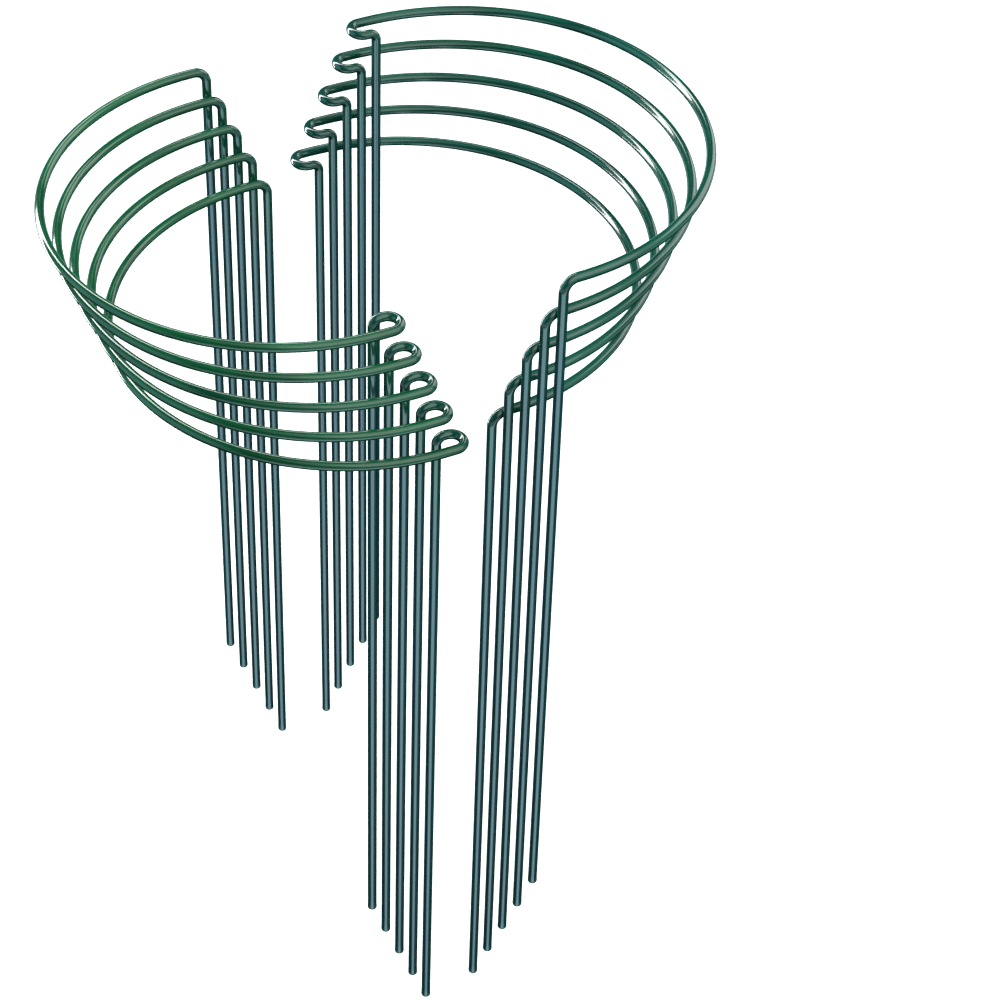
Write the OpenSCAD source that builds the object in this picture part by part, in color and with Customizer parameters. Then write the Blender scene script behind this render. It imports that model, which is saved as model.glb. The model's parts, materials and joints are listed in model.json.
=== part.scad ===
// Plant support ring stakes: ten half rings of plastic-coated steel wire on two legs each.
// Five stand nested on the left and five on the right, and the two stacks face each other.
// Each stake is one bent wire: a plain leg, a half ring, a hook that holds the other half, a second leg.
// Millimetres. Z is up, X runs from the left stack to the right one, and the origin lies on the ground
// in the middle of the set, at the level of the lowest feet.

/* [Wire] */
// diameter of the bare steel wire
core_d = 4.0; // [3:0.1:5]
// thickness of the plastic coating around the wire
coat_t = 0.5; // [0.3:0.05:0.8]
// thickness of the plastic that closes each end of the wire
tip_t = 1.0; // [0.6:0.1:2]

/* [Stake] */
// radius of the half ring, to the middle of the wire
ring_r = 120; // [100:1:150]
// height of the half ring over its own feet, to the middle of the wire
stake_h = 415; // [300:5:450]
// radius of the bend between the half ring and the plain leg
plain_bend_r = 7; // [6:0.5:14]

/* [Hook] */
// straight run from the end of the half ring to the U-turn
hook_run = 4; // [3:0.5:12]
// radius of the U-turn, to the middle of the wire
hook_r = 6; // [5:0.25:9]
// straight run from the U-turn back to the bend over the leg
hook_return = 1; // [0.5:0.5:4]
// radius of the bend over the hook's leg
hook_bend_r = 4; // [3.5:0.5:8]

/* [Stacks] */
// step along X from one stake to the next lower one, towards the other stack
step_x = 6; // [4:0.5:10]
// clear space along Y between an upper stake's leg and the ring below it
nest_clear = 0.3; // [0.3:0.1:4]
// drop from one stake to the next lower one in the left stack
left_drop = 16; // [8:0.5:24]
// drop from one stake to the next lower one in the right stack
right_drop = 22; // [8:0.5:28]
// clear space along X between the lowest right plain leg and the lowest left hook
stack_clear = 16; // [4:0.5:40]
// shift along Y of the uppermost right stake against the uppermost left one
stack_shift = -26; // [-60:1:20]

/* [Hidden] */
$fn = 64;
stakes = 5;
wire_d = core_d + 2 * coat_t;
tip_r = wire_d / 4;
step_y = wire_d + nest_clear;
hook_leg_x = hook_return + hook_bend_r - hook_run;
hook_leg_y = ring_r - 2 * hook_r;
stack_gap = 2 * (stakes - 1) * step_x + plain_bend_r + hook_run + hook_r + wire_d + stack_clear;
coating_green = [0.08, 0.36, 0.27];
steel_grey = [0.62, 0.63, 0.64];

// an arc of round wire in the XY plane, about the origin, from the X axis on
module wire_arc(bend_r, d, turn) {
    rotate_extrude(angle = turn)
        translate([bend_r, 0])
            circle(d = d);
}

// a straight run of round wire along +X
module wire_run(length, d) {
    rotate([0, 90, 0])
        cylinder(h = length, d = d);
}

// a leg with a rounded foot: its foot is at the height foot_z and its top at top_z
module leg(foot_z, top_z, d, foot_r) {
    translate([0, 0, foot_z])
        rotate_extrude()
            intersection() {
                union() {
                    translate([0, foot_r])
                        square([d / 2, top_z - foot_z - foot_r]);
                    square([d / 2 - foot_r, foot_r]);
                    translate([d / 2 - foot_r, foot_r])
                        circle(r = foot_r);
                }
                square([d / 2, top_z - foot_z]);
            }
}

// everything of the stake over its legs: plain bend, half ring and hook
module bent_top(d) {
    translate([0, -ring_r, stake_h - plain_bend_r])
        rotate([90, 0, 0])
            rotate([0, 0, 90])
                wire_arc(plain_bend_r, d, 90);
    translate([0, 0, stake_h])
        rotate([0, 0, -90])
            wire_arc(ring_r, d, 180);
    translate([-hook_run, ring_r, stake_h])
        wire_run(hook_run, d);
    translate([-hook_run, ring_r - hook_r, stake_h])
        rotate([0, 0, 90])
            wire_arc(hook_r, d, 180);
    translate([-hook_run, hook_leg_y, stake_h])
        wire_run(hook_return, d);
    translate([hook_return - hook_run, hook_leg_y, stake_h - hook_bend_r])
        rotate([90, 0, 0])
            wire_arc(hook_bend_r, d, 90);
}

// the whole bent wire at one diameter, with its feet at the height foot_z
module bent_wire(d, foot_z, foot_r) {
    bent_top(d);
    translate([-plain_bend_r, -ring_r, 0])
        leg(foot_z, stake_h - plain_bend_r, d, foot_r);
    translate([hook_leg_x, hook_leg_y, 0])
        leg(foot_z, stake_h - hook_bend_r, d, foot_r);
}

// the steel wire inside the coating
module core() {
    color(steel_grey)
        bent_wire(core_d, tip_t, tip_r / 2);
}

// the green plastic around the wire, closed over both feet
module coating() {
    color(coating_green)
        difference() {
            bent_wire(wire_d, 0, tip_r);
            bent_wire(core_d, tip_t, tip_r / 2);
        }
}

// the place of one stake in its stack: number 1 is the uppermost, and the left stack is turned half round
module place_stake(side, i) {
    drop = side == "left" ? left_drop : right_drop;
    rotate([0, 0, side == "left" ? 180 : 0])
        translate([stack_gap / 2 - (i - 1) * step_x, stack_shift / 2 + (i - 1) * step_y, (stakes - i) * drop])
            children();
}

for (side = ["left", "right"], i = [1 : stakes]) {
    place_stake(side, i) core();
    place_stake(side, i) coating();
}
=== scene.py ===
# %% [markdown]
# Plant support ring stakes, step by step.
# The object is a set of ten half-ring stakes. Each one is a single steel wire, bent into two legs, a half
# ring and a hook, and dipped in green plastic. The solids come from the CAD frame in metres. This lesson
# dresses them: it sweeps a smooth plastic skin along each wire, mixes the finishes, and sets up a studio.

# %% Load the CAD frame
import json
import math
import random

import bpy
from mathutils import Matrix, Vector


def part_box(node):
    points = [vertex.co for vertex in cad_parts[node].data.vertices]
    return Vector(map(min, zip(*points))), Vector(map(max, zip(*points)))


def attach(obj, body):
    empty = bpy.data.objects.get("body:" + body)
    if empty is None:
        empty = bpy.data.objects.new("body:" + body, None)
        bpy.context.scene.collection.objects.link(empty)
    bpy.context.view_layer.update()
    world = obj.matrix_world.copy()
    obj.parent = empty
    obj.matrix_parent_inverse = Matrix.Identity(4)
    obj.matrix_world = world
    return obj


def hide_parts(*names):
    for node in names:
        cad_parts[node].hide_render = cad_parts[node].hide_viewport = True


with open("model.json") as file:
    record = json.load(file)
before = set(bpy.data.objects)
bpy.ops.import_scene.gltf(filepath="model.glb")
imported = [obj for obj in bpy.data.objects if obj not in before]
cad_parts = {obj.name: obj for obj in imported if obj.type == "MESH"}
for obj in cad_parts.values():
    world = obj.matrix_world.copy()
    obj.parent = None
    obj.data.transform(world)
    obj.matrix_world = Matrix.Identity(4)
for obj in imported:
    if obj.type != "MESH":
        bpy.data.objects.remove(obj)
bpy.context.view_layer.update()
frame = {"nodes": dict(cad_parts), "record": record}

# %% [markdown]
# Three short helpers for node trees.
# Geometry trees and materials are both graphs of nodes, and writing them out link by link is long. The first
# helper adds a node and fills its inputs, from a plain value or from another node's output. The second names
# the kind of arithmetic first, so that a formula reads from left to right. The third mixes two colours. A
# Mix node holds sockets for numbers, vectors and colours side by side, so the ones for colours go by place.

# %% Node helpers
MIX_FACTOR = 0
MIX_FIRST = 6
MIX_SECOND = 7
MIX_RESULT = 2


def add_node(tree, kind, inputs=None, **settings):
    """A new node with its settings and its inputs, given by name or by place."""
    node = tree.nodes.new(kind)
    for name, value in settings.items():
        setattr(node, name, value)
    for key, value in (inputs or {}).items():
        if isinstance(value, bpy.types.NodeSocket):
            tree.links.new(value, node.inputs[key])
        else:
            node.inputs[key].default_value = value
    return node


def calc(tree, operation, *values, clamp=False):
    """The output of one Math node."""
    node = add_node(tree, "ShaderNodeMath", dict(enumerate(values)), operation=operation, use_clamp=clamp)
    return node.outputs[0]


def mix_colours(tree, factor, first, second):
    """The output of a Mix node on two colours: the first at a factor of 0, the second at 1."""
    inputs = {MIX_FACTOR: factor, MIX_FIRST: first, MIX_SECOND: second}
    return add_node(tree, "ShaderNodeMix", inputs, data_type="RGBA").outputs[MIX_RESULT]


# %% [markdown]
# The sizes that shape a stake.
# The wire's thickness is in the record, as the radius of the legs, and each stake's place and size can be
# read from the box of its CAD node. Only the small bends aren't in that box, so they are written here as
# the real sizes in metres.

# %% Sizes of the wire and its bends
WIRE_R = frame["record"]["mounts"][0]["dims"]["r_mm"] / 1000
FOOT_R = WIRE_R / 2
PLAIN_BEND_R = 0.007
HOOK_RUN = 0.004
HOOK_R = 0.006
HOOK_RETURN = 0.001
HOOK_BEND_R = 0.004

print(f"coated wire {2000 * WIRE_R:.1f} mm thick")

# %% [markdown]
# The camera comes first, because everything else is judged through it.
# The rings in the photograph are ellipses about two thirds as tall as they are wide, so the camera looks
# down at 41 degrees. The legs draw together only a little towards their feet, so it stands well off with a
# long lens. It is placed by the point that it looks at, a direction and a distance. The set stands left of
# the middle of the photograph, and a small sideways shift of the lens gives that framing.

# %% Camera
LOOK_AT = Vector((0.0087, 0.0246, 0.2521))
LOOK_AZIMUTH = -24.3
LOOK_ELEVATION = 41.3
LOOK_DISTANCE = 1.641
LENS_MM = 107.4
SENSOR_MM = 36.0
LENS_SHIFT = 0.13


def way(azimuth, elevation):
    """The direction from the set towards a place around it, from two angles in degrees."""
    azimuth, elevation = math.radians(azimuth), math.radians(elevation)
    flat = math.cos(elevation)
    return (math.sin(azimuth) * flat, -math.cos(azimuth) * flat, math.sin(elevation))


towards_camera = Vector(way(LOOK_AZIMUTH, LOOK_ELEVATION))
camera_data = bpy.data.cameras.new("studio_camera")
camera_data.lens = LENS_MM
camera_data.sensor_width = SENSOR_MM
camera_data.sensor_fit = "HORIZONTAL"
camera_data.shift_x = LENS_SHIFT
camera = bpy.data.objects.new("studio_camera", camera_data)
camera.location = LOOK_AT + LOOK_DISTANCE * towards_camera
camera.rotation_euler = (-towards_camera).to_track_quat("-Z", "Y").to_euler()
bpy.context.scene.collection.objects.link(camera)
bpy.context.scene.camera = camera

print("camera at", [round(v, 3) for v in camera.location])

# %% [markdown]
# The middle line of one wire.
# A wire bender works along a length of wire: a straight, a bend, a straight, and so on. The path is written
# the same way, as runs and arcs that start where the last one ended. The points lie close together in the
# tight bends of the hook and far apart on the legs, where nothing turns.

# %% Runs and arcs
X = Vector((1, 0, 0))
Y = Vector((0, 1, 0))
Z = Vector((0, 0, 1))
LEG_SPACING = 0.005
FINE_SPACING = 0.001
BEAD_LENGTH = 0.006
BEND_STEP = math.radians(5)
RING_STEP = math.radians(1.5)
HALF_TURN = math.pi
QUARTER_TURN = math.pi / 2
FOOT_POINTS = 8


def run(start, end, spacing=LEG_SPACING):
    """Points on a straight, from start up to but without its end."""
    count = max(1, round((end - start).length / spacing))
    return [start.lerp(end, k / count) for k in range(count)]


def arc(centre, radius, first, second, turn, step=BEND_STEP):
    """Points on a round bend that starts along first and turns towards second, without its end."""
    count = math.ceil(turn / step)
    angles = [turn * k / count for k in range(count)]
    return [centre + radius * (math.cos(a) * first + math.sin(a) * second) for a in angles]


def leg_points(foot, top):
    """Points up a leg without its top, packed towards the tip so that the foot's rounding is smooth."""
    rounding = [FOOT_R * (1 - math.cos(QUARTER_TURN * k / FOOT_POINTS)) for k in range(FOOT_POINTS)]
    wall = foot + Z * FOOT_R
    bead_top = wall + Z * BEAD_LENGTH
    return [foot + Z * h for h in rounding] + run(wall, bead_top, FINE_SPACING) + run(bead_top, top)


print(len(arc(Vector(), HOOK_R, X, Y, HALF_TURN)), "points around a hook")

# %% [markdown]
# One whole stake, in its own frame.
# The half ring's centre is on the Z axis, and it bulges towards +X. The path climbs the plain leg, turns
# into the half ring, makes the flat U-turn of the hook and comes down the second leg. Beside each point
# goes the radius of the bend there, because the coating's colour is darkened in a tight one as painted
# shade.

# %% Path of a stake
def stake_path(ring_r, height):
    """The points of a right-hand stake from foot to foot, and the bend radius at each, or None."""
    plain_foot = Vector((-PLAIN_BEND_R, -ring_r, 0))
    hook_y = ring_r - 2 * HOOK_R
    hook_end = Vector((HOOK_RETURN - HOOK_RUN, hook_y, height))
    hook_foot = Vector((hook_end.x + HOOK_BEND_R, hook_y, 0))
    plain_top = plain_foot + Z * (height - PLAIN_BEND_R)
    hook_top = hook_foot + Z * (height - HOOK_BEND_R)
    ring_end = Vector((0, ring_r, height))
    u_start = ring_end - X * HOOK_RUN
    u_end = Vector((-HOOK_RUN, hook_y, height))
    stretches = [
        (leg_points(plain_foot, plain_top), None),
        (arc(plain_top + X * PLAIN_BEND_R, PLAIN_BEND_R, -X, Z, QUARTER_TURN), PLAIN_BEND_R),
        (arc(Z * height, ring_r, -Y, X, HALF_TURN, RING_STEP), ring_r),
        (run(ring_end, u_start, FINE_SPACING), None),
        (arc(u_start - Y * HOOK_R, HOOK_R, Y, -X, HALF_TURN), HOOK_R),
        (run(u_end, hook_end, FINE_SPACING / 2), None),
        (arc(hook_end - Z * HOOK_BEND_R, HOOK_BEND_R, Z, X, QUARTER_TURN), HOOK_BEND_R),
        ([hook_top] + leg_points(hook_foot, hook_top)[::-1], None),
    ]
    points = [p for pts, _ in stretches for p in pts]
    bends = [r for pts, r in stretches for _ in pts]
    return points, bends


# %% [markdown]
# Where each stake stands.
# The box of a stake's CAD coating gives its half ring's centre, radius and height. The left stack is the
# right one turned half round the Z axis, so its points are turned, not mirrored: a mirrored hook would
# open the wrong way.

# %% Place of a stake
STAKES_PER_SIDE = 5
STAKES = [(side, k) for side in ("left", "right") for k in range(1, STAKES_PER_SIDE + 1)]


def place_stake(side, number):
    """The points of one stake where it stands, and the bend radius at each."""
    low, high = (Vector(corner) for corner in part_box(f"{side}_stake_{number}_coating"))
    ring_r = (high.y - low.y) / 2 - WIRE_R
    height = high.z - WIRE_R - low.z
    turned = -1 if side == "left" else 1
    outer_x = low.x if side == "left" else high.x
    centre = Vector((outer_x - turned * (ring_r + WIRE_R), (low.y + high.y) / 2, low.z))
    points, bends = stake_path(ring_r, height)
    return [centre + Vector((turned * p.x, turned * p.y, p.z)) for p in points], bends


first_points, first_bends = place_stake(*STAKES[0])
print(f"{len(first_points)} points along a stake, ring at {1000 * max(p.z for p in first_points):.0f} mm")

# %% [markdown]
# The path as a mesh of loose edges.
# Geometry Nodes can turn loose edges into a curve, and every number stored on their points travels along.
# Four numbers go with each point: how far along the wire it lies, how far it is from the nearer foot, how
# far down the leg it is, and how tight the bend is. The last two steer the painted shade of the legs and
# bends. The tightness is averaged over its neighbours, so that the painted shade doesn't change all at once
# from one point to the next.

# %% Path mesh
TIGHT_BEND_R = 0.005
TIGHT_SPREAD = 4
LEG_FADE = 0.06


def bend_tightness(bends):
    """How tight the wire is bent at each point, from 0 on a straight to 1 in the tightest bend."""
    raw = [min(1.0, TIGHT_BEND_R / r) if r else 0.0 for r in bends]
    spread = range(-TIGHT_SPREAD, TIGHT_SPREAD + 1)
    last = len(raw) - 1
    return [sum(raw[min(max(k + d, 0), last)] for d in spread) / len(spread) for k in range(len(raw))]


def path_mesh(name, points, bends):
    """A mesh of edges from foot to foot that carries the numbers of its points."""
    mesh = bpy.data.meshes.new(name)
    mesh.from_pydata(points, [(k, k + 1) for k in range(len(points) - 1)], [])
    along = [0.0]
    for before, after in zip(points, points[1:]):
        along.append(along[-1] + (after - before).length)
    ring_z = max(p.z for p in points)
    numbers = {
        "along": along,
        "foot": [min(s, along[-1] - s) for s in along],
        "leg": [min(1.0, (ring_z - p.z) / LEG_FADE) for p in points],
        "tight": bend_tightness(bends),
    }
    for key, values in numbers.items():
        mesh.attributes.new(key, "FLOAT", "POINT").data.foreach_set("value", values)
    return mesh


print(f"the tightest bend counts as {max(bend_tightness(first_bends)):.2f}")

# %% [markdown]
# The plastic skin, swept along the path.
# The coating could be an extruded circle in a curve's bevel, but its thickness isn't even: dipped plastic
# swells and thins by about a hundredth of a millimetre, gathers into a soft bead over each foot, and closes
# it with a round end. A Geometry Nodes tree gives each point of the path its own radius and sweeps a circle
# along it. It also stores a coordinate that runs with the wire, so that lines in the finish follow it.

# %% Inputs of the skin's tree
skin_tree = bpy.data.node_groups.new("dipped_skin", "GeometryNodeTree")
skin_tree.is_modifier = True
SKIN_INPUTS = (
    ("Path", "NodeSocketGeometry", None),
    ("Wire Radius", "NodeSocketFloat", WIRE_R),
    ("Foot Radius", "NodeSocketFloat", FOOT_R),
    ("Sides", "NodeSocketInt", 28),
    ("Thickness Play", "NodeSocketFloat", 0.00004),
    ("Play Per Metre", "NodeSocketFloat", 55.0),
    ("Foot Bead", "NodeSocketFloat", 0.00012),
    ("Foot Bead Length", "NodeSocketFloat", BEAD_LENGTH),
    ("Shade", "NodeSocketFloat", 0.5),
    ("Seed", "NodeSocketFloat", 0.0),
    ("Coating", "NodeSocketMaterial", None),
)
for socket_name, socket_type, value in SKIN_INPUTS:
    socket = skin_tree.interface.new_socket(socket_name, in_out="INPUT", socket_type=socket_type)
    if value is not None:
        socket.default_value = value
skin_tree.interface.new_socket("Skin", in_out="OUTPUT", socket_type="NodeSocketGeometry")
skin_in = skin_tree.nodes.new("NodeGroupInput").outputs
print("skin inputs:", ", ".join(name for name, _, _ in SKIN_INPUTS))

# %% Radius at each point of the path
NOISE_MIDDLE = 0.5


def path_number(name):
    """A number that the path's points carry."""
    node = add_node(skin_tree, "GeometryNodeInputNamedAttribute", {"Name": name}, data_type="FLOAT")
    return node.outputs["Attribute"]


play_place = add_node(skin_tree, "ShaderNodeCombineXYZ", {"X": path_number("along"), "Y": skin_in["Seed"]})
play_noise = add_node(skin_tree, "ShaderNodeTexNoise", {
    "Vector": play_place.outputs[0], "Scale": skin_in["Play Per Metre"], "Detail": 2.0,
})
play = calc(skin_tree, "SUBTRACT", play_noise.outputs[0], NOISE_MIDDLE)
body_radius = calc(skin_tree, "MULTIPLY_ADD", play, skin_in["Thickness Play"], skin_in["Wire Radius"])

bead_place = calc(skin_tree, "DIVIDE", path_number("foot"), skin_in["Foot Bead Length"])
bead_fade = calc(skin_tree, "SUBTRACT", 1.0, bead_place, clamp=True)
bead_radius = calc(skin_tree, "MULTIPLY_ADD", bead_fade, skin_in["Foot Bead"], body_radius)

to_wall = calc(skin_tree, "SUBTRACT", skin_in["Foot Radius"], path_number("foot"))
to_wall = calc(skin_tree, "MAXIMUM", to_wall, 0.0)
round_square = calc(skin_tree, "MULTIPLY", skin_in["Foot Radius"], skin_in["Foot Radius"])
wall_square = calc(skin_tree, "MULTIPLY", to_wall, to_wall)
round_wall = calc(skin_tree, "SQRT", calc(skin_tree, "SUBTRACT", round_square, wall_square))
round_off = calc(skin_tree, "SUBTRACT", round_wall, skin_in["Foot Radius"])
skin_radius = calc(skin_tree, "ADD", bead_radius, round_off)

# %% Sweep and coordinates
rail = add_node(skin_tree, "GeometryNodeMeshToCurve", {"Mesh": skin_in["Path"]})
circle = add_node(skin_tree, "GeometryNodeCurvePrimitiveCircle", {
    "Resolution": skin_in["Sides"], "Radius": 1.0,
})
around = add_node(skin_tree, "GeometryNodeStoreNamedAttribute", {
    "Geometry": circle.outputs[0], "Name": "around",
    "Value": skin_tree.nodes.new("GeometryNodeInputPosition").outputs[0],
}, data_type="FLOAT_VECTOR", domain="POINT")
sweep = add_node(skin_tree, "GeometryNodeCurveToMesh", {
    "Curve": rail.outputs[0], "Profile Curve": around.outputs[0], "Scale": skin_radius, "Fill Caps": True,
})
around_read = add_node(
    skin_tree, "GeometryNodeInputNamedAttribute", {"Name": "around"}, data_type="FLOAT_VECTOR",
)
around_parts = add_node(skin_tree, "ShaderNodeSeparateXYZ", {0: around_read.outputs["Attribute"]})
wire_place = add_node(skin_tree, "ShaderNodeCombineXYZ", {
    "X": around_parts.outputs["X"], "Y": around_parts.outputs["Y"], "Z": path_number("along"),
})
with_place = add_node(skin_tree, "GeometryNodeStoreNamedAttribute", {
    "Geometry": sweep.outputs[0], "Name": "wire_place", "Value": wire_place.outputs[0],
}, data_type="FLOAT_VECTOR", domain="POINT")
with_shade = add_node(skin_tree, "GeometryNodeStoreNamedAttribute", {
    "Geometry": with_place.outputs[0], "Name": "shade", "Value": skin_in["Shade"],
}, data_type="FLOAT", domain="POINT")

# %% End of the skin's tree
smooth = add_node(skin_tree, "GeometryNodeSetShadeSmooth", {"Geometry": with_shade.outputs[0]})
whole = add_node(skin_tree, "GeometryNodeRealizeInstances", {"Geometry": smooth.outputs[0]})
finished = add_node(skin_tree, "GeometryNodeSetMaterial", {
    "Geometry": whole.outputs[0], "Material": skin_in["Coating"],
})
add_node(skin_tree, "NodeGroupOutput", {"Skin": finished.outputs[0]})
print("skin tree:", len(skin_tree.nodes), "nodes")

# %% [markdown]
# Two effects that both finishes share.
# Wire is pulled through a die, and the die leaves faint lines along it. They show in the bare steel and,
# softened, through the plastic. Neither finish is one even tone either: there are broad, cloudy changes.
# Each effect is a shader node group with named inputs, built once and placed in both materials.

# %% Drawn lines
def shader_group(name, inputs, outputs):
    """An empty shader node group with named sockets, its input node's outputs and its output node."""
    tree = bpy.data.node_groups.new(name, "ShaderNodeTree")
    for in_out, sockets in (("INPUT", inputs), ("OUTPUT", outputs)):
        for socket_name, socket_type in sockets.items():
            tree.interface.new_socket(socket_name, in_out=in_out, socket_type=socket_type)
    return tree, tree.nodes.new("NodeGroupInput").outputs, tree.nodes.new("NodeGroupOutput")


drawn_lines, lines_in, lines_out = shader_group(
    "drawn_lines",
    {"Place": "NodeSocketVector", "Across": "NodeSocketFloat", "Along": "NodeSocketFloat"},
    {"Lines": "NodeSocketFloat"},
)
lines_scale = add_node(drawn_lines, "ShaderNodeCombineXYZ", {
    "X": lines_in["Across"], "Y": lines_in["Across"], "Z": lines_in["Along"],
})
lines_place = add_node(drawn_lines, "ShaderNodeVectorMath", {
    0: lines_in["Place"], 1: lines_scale.outputs[0],
}, operation="MULTIPLY")
lines_noise = add_node(drawn_lines, "ShaderNodeTexNoise", {
    "Vector": lines_place.outputs[0], "Scale": 1.0, "Detail": 3.0, "Roughness": 0.6,
})
drawn_lines.links.new(lines_noise.outputs[0], lines_out.inputs["Lines"])
print("shared effect:", drawn_lines.name)

# %% Clouds
NOISE_LOW = 0.3
NOISE_HIGH = 0.7


def smooth_step(tree, value, start, full):
    """A number that goes smoothly from 0 at start to 1 at full."""
    return add_node(tree, "ShaderNodeMapRange", {
        "Value": value, "From Min": start, "From Max": full,
    }, interpolation_type="SMOOTHSTEP").outputs[0]


clouds, clouds_in, clouds_out = shader_group(
    "cloudy_tone",
    {"Place": "NodeSocketVector", "Per Metre": "NodeSocketFloat", "Dark": "NodeSocketColor",
     "Light": "NodeSocketColor"},
    {"Tone": "NodeSocketColor"},
)
clouds_noise = add_node(clouds, "ShaderNodeTexNoise", {
    "Vector": clouds_in["Place"], "Scale": clouds_in["Per Metre"], "Detail": 4.0, "Roughness": 0.55,
})
clouds_mask = smooth_step(clouds, clouds_noise.outputs[0], NOISE_LOW, NOISE_HIGH)
clouds_tone = mix_colours(clouds, clouds_mask, clouds_in["Dark"], clouds_in["Light"])
clouds.links.new(clouds_tone, clouds_out.inputs["Tone"])
print("shared effect:", clouds.name)

# %% [markdown]
# The green plastic.
# The coating is soft vinyl: dark, saturated and glossy. A flat green would look like paint, so its colour
# is built in layers. Clouds move it between a deep and a fresh green, and each stake has a shade of its own,
# from green to teal. Down the legs it turns to a dark blue teal, which is painted shade and a painted bluish
# reflection. The tight bends turn a dark teal too, as painted shade, and the rounded feet are paler, as a
# painted highlight.

# %% Helpers for materials
def attribute(tree, name, output="Fac"):
    """A number or vector that the piece's own points carry."""
    return add_node(tree, "ShaderNodeAttribute", attribute_name=name).outputs[output]


def new_material(name):
    """A material with only its Principled shader, and its node tree."""
    material = bpy.data.materials.new(name)
    material.use_nodes = True
    return material, material.node_tree, material.node_tree.nodes["Principled BSDF"]


def placed_group(tree, group, inputs):
    """The outputs of a shader node group placed in a material."""
    return add_node(tree, "ShaderNodeGroup", inputs, node_tree=group).outputs


# %% Colour of the coating
GREEN_DEEP = (0.003, 0.062, 0.022, 1)
GREEN_FRESH = (0.006, 0.105, 0.038, 1)
TEAL_DEEP = (0.002, 0.045, 0.038, 1)
TEAL_FRESH = (0.004, 0.078, 0.068, 1)
# The legs' dark blue teal is painted shade and a painted bluish reflection.
LEG_SHADE_TEAL = (0.008, 0.058, 0.082, 1)
# The dark teal of the tight bends is painted shade.
BEND_SHADE_TEAL = (0.004, 0.050, 0.042, 1)
# The pale green of the rounded feet is a painted highlight.
FOOT_HIGHLIGHT_GREEN = (0.120, 0.240, 0.200, 1)
LEG_SHADE_SHARE = 0.9
BEND_SHADE_SHARE = 0.9
FOOT_HIGHLIGHT_SHARE = 0.6
FOOT_HIGHLIGHT_LENGTH = 0.004
COAT_CLOUDS_PER_METRE = 26.0

coating, coat_tree, coat_shader = new_material("green_coating")
coat_place = coat_tree.nodes.new("ShaderNodeTexCoord").outputs["Object"]
green = placed_group(coat_tree, clouds, {
    "Place": coat_place, "Per Metre": COAT_CLOUDS_PER_METRE, "Dark": GREEN_DEEP, "Light": GREEN_FRESH,
})
teal = placed_group(coat_tree, clouds, {
    "Place": coat_place, "Per Metre": COAT_CLOUDS_PER_METRE, "Dark": TEAL_DEEP, "Light": TEAL_FRESH,
})
coat_colour = mix_colours(coat_tree, attribute(coat_tree, "shade"), green["Tone"], teal["Tone"])
# Painted shade and a painted bluish reflection, mixed in down the legs.
leg_shade_share = calc(coat_tree, "MULTIPLY", attribute(coat_tree, "leg"), LEG_SHADE_SHARE)
coat_colour = mix_colours(coat_tree, leg_shade_share, coat_colour, LEG_SHADE_TEAL)
# Painted shade in the tight bends of the hooks and legs.
bend_shade = calc(coat_tree, "MULTIPLY", attribute(coat_tree, "tight"), BEND_SHADE_SHARE)
coat_colour = mix_colours(coat_tree, bend_shade, coat_colour, BEND_SHADE_TEAL)
# A painted highlight on the last few millimetres of each foot.
foot_highlight = add_node(coat_tree, "ShaderNodeMapRange", {
    "Value": attribute(coat_tree, "foot"), "From Min": FOOT_HIGHLIGHT_LENGTH, "From Max": 0.0,
    "To Max": FOOT_HIGHLIGHT_SHARE,
}).outputs[0]
coat_colour = mix_colours(coat_tree, foot_highlight, coat_colour, FOOT_HIGHLIGHT_GREEN)
coat_tree.links.new(coat_colour, coat_shader.inputs["Base Color"])
print("colour of the coating:", len(coat_tree.nodes), "nodes")

# %% [markdown]
# The gloss of the plastic.
# Dipped vinyl is smooth but no mirror: the lines of the drawn wire show through faintly, and the surface is
# finely uneven, like the peel of an orange. Both could be modelled, but they are only thousandths of a
# millimetre high, so Bump nodes give them. The roughness changes a little with the lines, and a thin clear
# coat with less roughness keeps the highlights crisp.

# %% Gloss and relief of the coating
COAT_LINES_ACROSS = 2.5
COAT_LINES_ALONG = 12.0
COAT_ROUGH_LOW = 0.122
COAT_ROUGH_HIGH = 0.127
LINE_HEIGHT = 0.0000015
PEEL_HEIGHT = 0.000002
PEEL_PER_METRE = 700.0
VINYL_IOR = 1.52
GLOSS_WEIGHT = 0.35
GLOSS_ROUGHNESS = 0.08

coat_lines = placed_group(coat_tree, drawn_lines, {
    "Place": attribute(coat_tree, "wire_place", "Vector"),
    "Across": COAT_LINES_ACROSS, "Along": COAT_LINES_ALONG,
})["Lines"]
coat_rough = add_node(coat_tree, "ShaderNodeMapRange", {
    "Value": coat_lines, "From Min": NOISE_LOW, "From Max": NOISE_HIGH,
    "To Min": COAT_ROUGH_LOW, "To Max": COAT_ROUGH_HIGH,
}).outputs[0]
coat_tree.links.new(coat_rough, coat_shader.inputs["Roughness"])
peel = add_node(coat_tree, "ShaderNodeTexNoise", {
    "Vector": coat_place, "Scale": PEEL_PER_METRE, "Detail": 1.0,
})
lines_bump = add_node(coat_tree, "ShaderNodeBump", {
    "Height": coat_lines, "Distance": LINE_HEIGHT, "Strength": 1.0,
})
peel_bump = add_node(coat_tree, "ShaderNodeBump", {
    "Height": peel.outputs[0], "Distance": PEEL_HEIGHT, "Strength": 1.0, "Normal": lines_bump.outputs[0],
})
coat_tree.links.new(peel_bump.outputs[0], coat_shader.inputs["Normal"])
coat_shader.inputs["IOR"].default_value = VINYL_IOR
coat_shader.inputs["Coat Weight"].default_value = GLOSS_WEIGHT
coat_shader.inputs["Coat Roughness"].default_value = GLOSS_ROUGHNESS
print("coating material:", len(coat_tree.nodes), "nodes")

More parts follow.
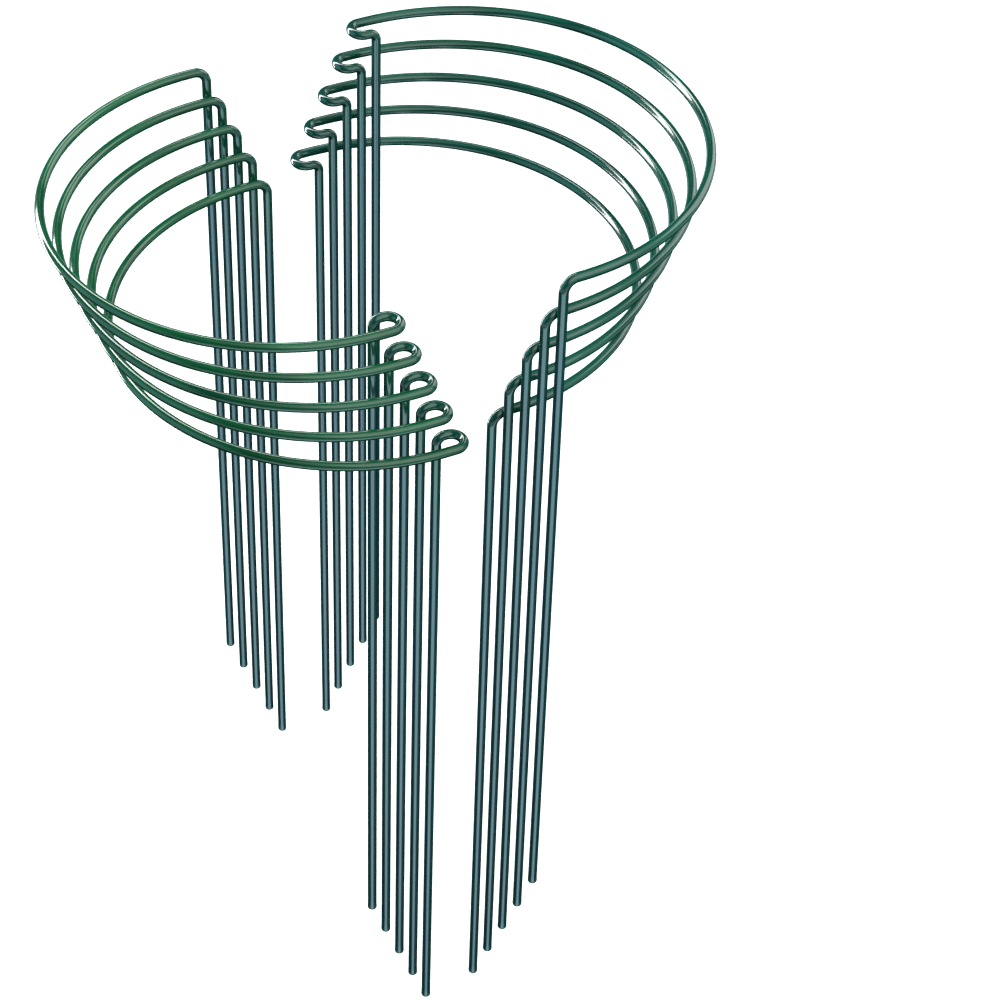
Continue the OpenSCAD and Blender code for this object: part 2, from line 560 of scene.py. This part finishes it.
# %% [markdown]
# The steel inside.
# The core is drawn mild steel, sealed in the plastic, so it only shows if a stake is cut open. It keeps its
# CAD shape and gets the same two effects with its own values: grey clouds, and lines along the legs.

# %% Material of the wire
STEEL_DARK = (0.22, 0.22, 0.23, 1)
STEEL_LIGHT = (0.42, 0.42, 0.43, 1)
STEEL_CLOUDS_PER_METRE = 90.0
STEEL_LINES_ACROSS = 2500.0
STEEL_LINES_ALONG = 20.0
STEEL_ROUGH_LOW = 0.25
STEEL_ROUGH_HIGH = 0.5
STEEL_LINE_HEIGHT = 0.00002

steel, steel_tree, steel_shader = new_material("steel_wire")
steel_place = steel_tree.nodes.new("ShaderNodeTexCoord").outputs["Object"]
steel_tone = placed_group(steel_tree, clouds, {
    "Place": steel_place, "Per Metre": STEEL_CLOUDS_PER_METRE, "Dark": STEEL_DARK, "Light": STEEL_LIGHT,
})["Tone"]
steel_tree.links.new(steel_tone, steel_shader.inputs["Base Color"])
steel_lines = placed_group(steel_tree, drawn_lines, {
    "Place": steel_place, "Across": STEEL_LINES_ACROSS, "Along": STEEL_LINES_ALONG,
})["Lines"]
steel_rough = add_node(steel_tree, "ShaderNodeMapRange", {
    "Value": steel_lines, "To Min": STEEL_ROUGH_LOW, "To Max": STEEL_ROUGH_HIGH,
})
steel_tree.links.new(steel_rough.outputs[0], steel_shader.inputs["Roughness"])
steel_bump = add_node(steel_tree, "ShaderNodeBump", {"Height": steel_lines, "Distance": STEEL_LINE_HEIGHT})
steel_tree.links.new(steel_bump.outputs[0], steel_shader.inputs["Normal"])
steel_shader.inputs["Metallic"].default_value = 1.0
for side, number in STAKES:
    core = frame["nodes"][f"{side}_stake_{number}_core"]
    core.data.materials.clear()
    core.data.materials.append(steel)
print("steel on", len(STAKES), "wires")

# %% [markdown]
# Ten skins from one tree.
# Each stake's path goes through the same tree with its own seed, so no two are swollen in the same places,
# and with its own shade. The left stack is greener and the right one more teal. The tree's result becomes a
# plain mesh, which rides on its stake's body and stands for the CAD coating.

# %% Dress the stakes
SHADE_OF_SIDE = {"left": 0.1, "right": 0.7}
SHADE_SPREAD = 0.1
SHADE_SEED = 11
SEED_OF_SIDE = {"left": 0.0, "right": 5.0}
SEED_STEP = 10.0
skin_inputs = {s.name: s.identifier for s in skin_tree.interface.items_tree if s.in_out == "INPUT"}
shade_draw = random.Random(SHADE_SEED)


def dress_stake(side, number):
    """The plastic skin of one stake, as a plain mesh that rides on the stake's body."""
    name = f"{side}_stake_{number}"
    points, bends = place_stake(side, number)
    path = bpy.data.objects.new(f"{name}_path", path_mesh(f"{name}_path", points, bends))
    bpy.context.scene.collection.objects.link(path)
    modifier = path.modifiers.new("skin", "NODES")
    modifier.node_group = skin_tree
    settings = {
        "Seed": SEED_STEP * number + SEED_OF_SIDE[side],
        "Shade": SHADE_OF_SIDE[side] + SHADE_SPREAD * shade_draw.uniform(-1, 1),
        "Coating": coating,
    }
    for key, value in settings.items():
        modifier[skin_inputs[key]] = value
    evaluated = path.evaluated_get(bpy.context.evaluated_depsgraph_get())
    skin_mesh = bpy.data.meshes.new_from_object(evaluated)
    bpy.data.objects.remove(path)
    skin = bpy.data.objects.new(f"{name}_green_skin", skin_mesh)
    bpy.context.scene.collection.objects.link(skin)
    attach(skin, name)
    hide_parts(f"{name}_coating")
    return skin


skins = [dress_stake(side, number) for side, number in STAKES]
print("skins:", len(skins), "with", sum(len(s.data.polygons) for s in skins), "faces")

# %% [markdown]
# The studio.
# The photograph's wires have a pale streak and dark edges, because they mirror a mostly dark room.
# Following the line of sight to where each part mirrors gives three soft glows. The legs mirror one low in
# front, which is bluish. The arcs near the hooks mirror one high on the right, and the far arcs one on the
# left. A weak band under the horizon serves views from the sides. The low glow and the band are there for
# mirrored rays alone, so that the undersides of the arcs stay dark. The floor is a plain light table: it
# glows evenly, so shadows on it stay faint, and it is kept out of the reflections, which would make the
# edges pale. The camera itself sees white paper behind the set.

# %% Floor
FLOOR_HALF = 4.0
FLOOR_GREY = (0.8, 0.8, 0.8, 1)
FLOOR_ROUGHNESS = 0.9
FLOOR_GLOW = 0.7

floor_mesh = bpy.data.meshes.new("studio_floor")
floor_corners = [(sx * FLOOR_HALF, sy * FLOOR_HALF, 0) for sx, sy in ((-1, -1), (1, -1), (1, 1), (-1, 1))]
floor_mesh.from_pydata(floor_corners, [], [(0, 1, 2, 3)])
floor = bpy.data.objects.new("studio_floor", floor_mesh)
bpy.context.scene.collection.objects.link(floor)
floor_paint, _, floor_shader = new_material("pale_floor")
floor_shader.inputs["Base Color"].default_value = FLOOR_GREY
floor_shader.inputs["Roughness"].default_value = FLOOR_ROUGHNESS
floor_shader.inputs["Emission Color"].default_value = (1, 1, 1, 1)
floor_shader.inputs["Emission Strength"].default_value = FLOOR_GLOW
floor_mesh.materials.append(floor_paint)
floor.visible_glossy = False
floor.visible_diffuse = False
print("floor:", 2 * FLOOR_HALF, "m square")

# %% Room
world = bpy.data.worlds.new("studio_world")
world.use_nodes = True
room = world.node_tree
room_way = room.nodes.new("ShaderNodeTexCoord").outputs["Generated"]
room_height = add_node(room, "ShaderNodeSeparateXYZ", {0: room_way}).outputs["Z"]


def near(direction, start, full):
    """A number that goes from 0 to 1 as a direction in the room turns towards the given one."""
    turned = add_node(room, "ShaderNodeVectorMath", {0: room_way, 1: direction}, operation="DOT_PRODUCT")
    return smooth_step(room, turned.outputs["Value"], start, full)


def level(bottom, full_low, full_high, top):
    """A number that is 1 between two heights in the room and fades out below and above them."""
    rising = smooth_step(room, room_height, bottom, full_low)
    return calc(room, "MULTIPLY", rising, smooth_step(room, room_height, top, full_high))


# %% Glows of the room
DARK_ROOM = (0.02, 0.025, 0.025, 1)
SIDE_GLOW = (0.7, 1.0, 1.05, 1)
SIDE_LEVELS = (-0.45, -0.35, -0.15, -0.05)
LEFT_GLOW = (0.5, 1.1, 1.2, 1)
LEFT_SPREAD = (0.80, 0.95)
HIGH_GLOW = (0.85, 1.35, 1.12, 1)
HIGH_SPREAD = (0.45, 0.85)
LOW_GLOW = (2.1, 3.3, 3.7, 1)
LOW_SPREAD = (0.48, 0.69)
LOW_LEVELS = (-0.84, -0.78, -0.53, -0.45)
WHITE_PAPER = (1.1, 1.1, 1.1, 1)
TO_FRONT = way(LOOK_AZIMUTH, 0)
TO_LEFT = way(-105, 15)
TO_HIGH_RIGHT = way(30, 50)

light_path = room.nodes.new("ShaderNodeLightPath").outputs
mirrored = light_path["Is Glossy Ray"]
low_glow = calc(room, "MULTIPLY", near(TO_FRONT, *LOW_SPREAD), mirrored)
low_glow = calc(room, "MULTIPLY", low_glow, level(*LOW_LEVELS))
side_glow = calc(room, "MULTIPLY", level(*SIDE_LEVELS), mirrored)
room_colour = mix_colours(room, side_glow, DARK_ROOM, SIDE_GLOW)
room_colour = mix_colours(room, near(TO_LEFT, *LEFT_SPREAD), room_colour, LEFT_GLOW)
room_colour = mix_colours(room, near(TO_HIGH_RIGHT, *HIGH_SPREAD), room_colour, HIGH_GLOW)
room_colour = mix_colours(room, low_glow, room_colour, LOW_GLOW)
room_colour = mix_colours(room, light_path["Is Camera Ray"], room_colour, WHITE_PAPER)
room.links.new(room_colour, room.nodes["Background"].inputs["Color"])
bpy.context.scene.world = world
bpy.context.scene.view_settings.view_transform = "Standard"
print("room:", len(room.nodes), "nodes")

# %% [markdown]
# Four lamps.
# White highlights lie on the far right arcs and on every hook. Mirroring the line of sight at each point
# across such an arc gives the directions that its light comes from: they climb from low on the left to high
# behind and then turn right. So one strip light leans there, and another lies across its upper end. A panel
# close to the left hooks brightens them, and a panel on the right lights the legs for views from that side.

# %% Lamps
def strip_light(name, low_end, high_end, aim, width, watts):
    """A long area light from one end to the other, turned to face aim."""
    low_end, high_end, aim = Vector(low_end), Vector(high_end), Vector(aim)
    data = bpy.data.lights.new(name, "AREA")
    data.shape = "RECTANGLE"
    data.size = width
    data.size_y = (high_end - low_end).length
    data.energy = watts
    light = bpy.data.objects.new(name, data)
    light.location = (low_end + high_end) / 2
    back = (light.location - aim).normalized()
    across = (high_end - low_end).cross(back).normalized()
    light.rotation_euler = Matrix((across, back.cross(across), back)).transposed().to_euler()
    light.visible_camera = False
    bpy.context.scene.collection.objects.link(light)


RIGHT_RING = (0.16, 0.0, 0.46)
LEFT_HOOKS = (-0.03, -0.11, 0.45)
STRIPS_MEET = (-0.18, 0.79, 1.29)
STRIP_WIDTH = 0.17
strip_light("leaning_strip", (-0.70, 0.68, 0.02), STRIPS_MEET, RIGHT_RING, width=STRIP_WIDTH, watts=15.0)
strip_light("level_strip", STRIPS_MEET, (0.41, 0.84, 1.28), RIGHT_RING, width=STRIP_WIDTH, watts=3.5)
strip_light("front_panel", (0.10, -0.65, 0.54), (0.10, -0.35, 1.04), LEFT_HOOKS, width=0.8, watts=1.6)
strip_light("right_panel", (1.3, 0.3, 0.5), (1.1, 0.2, 1.5), RIGHT_RING, width=1.0, watts=8.0)
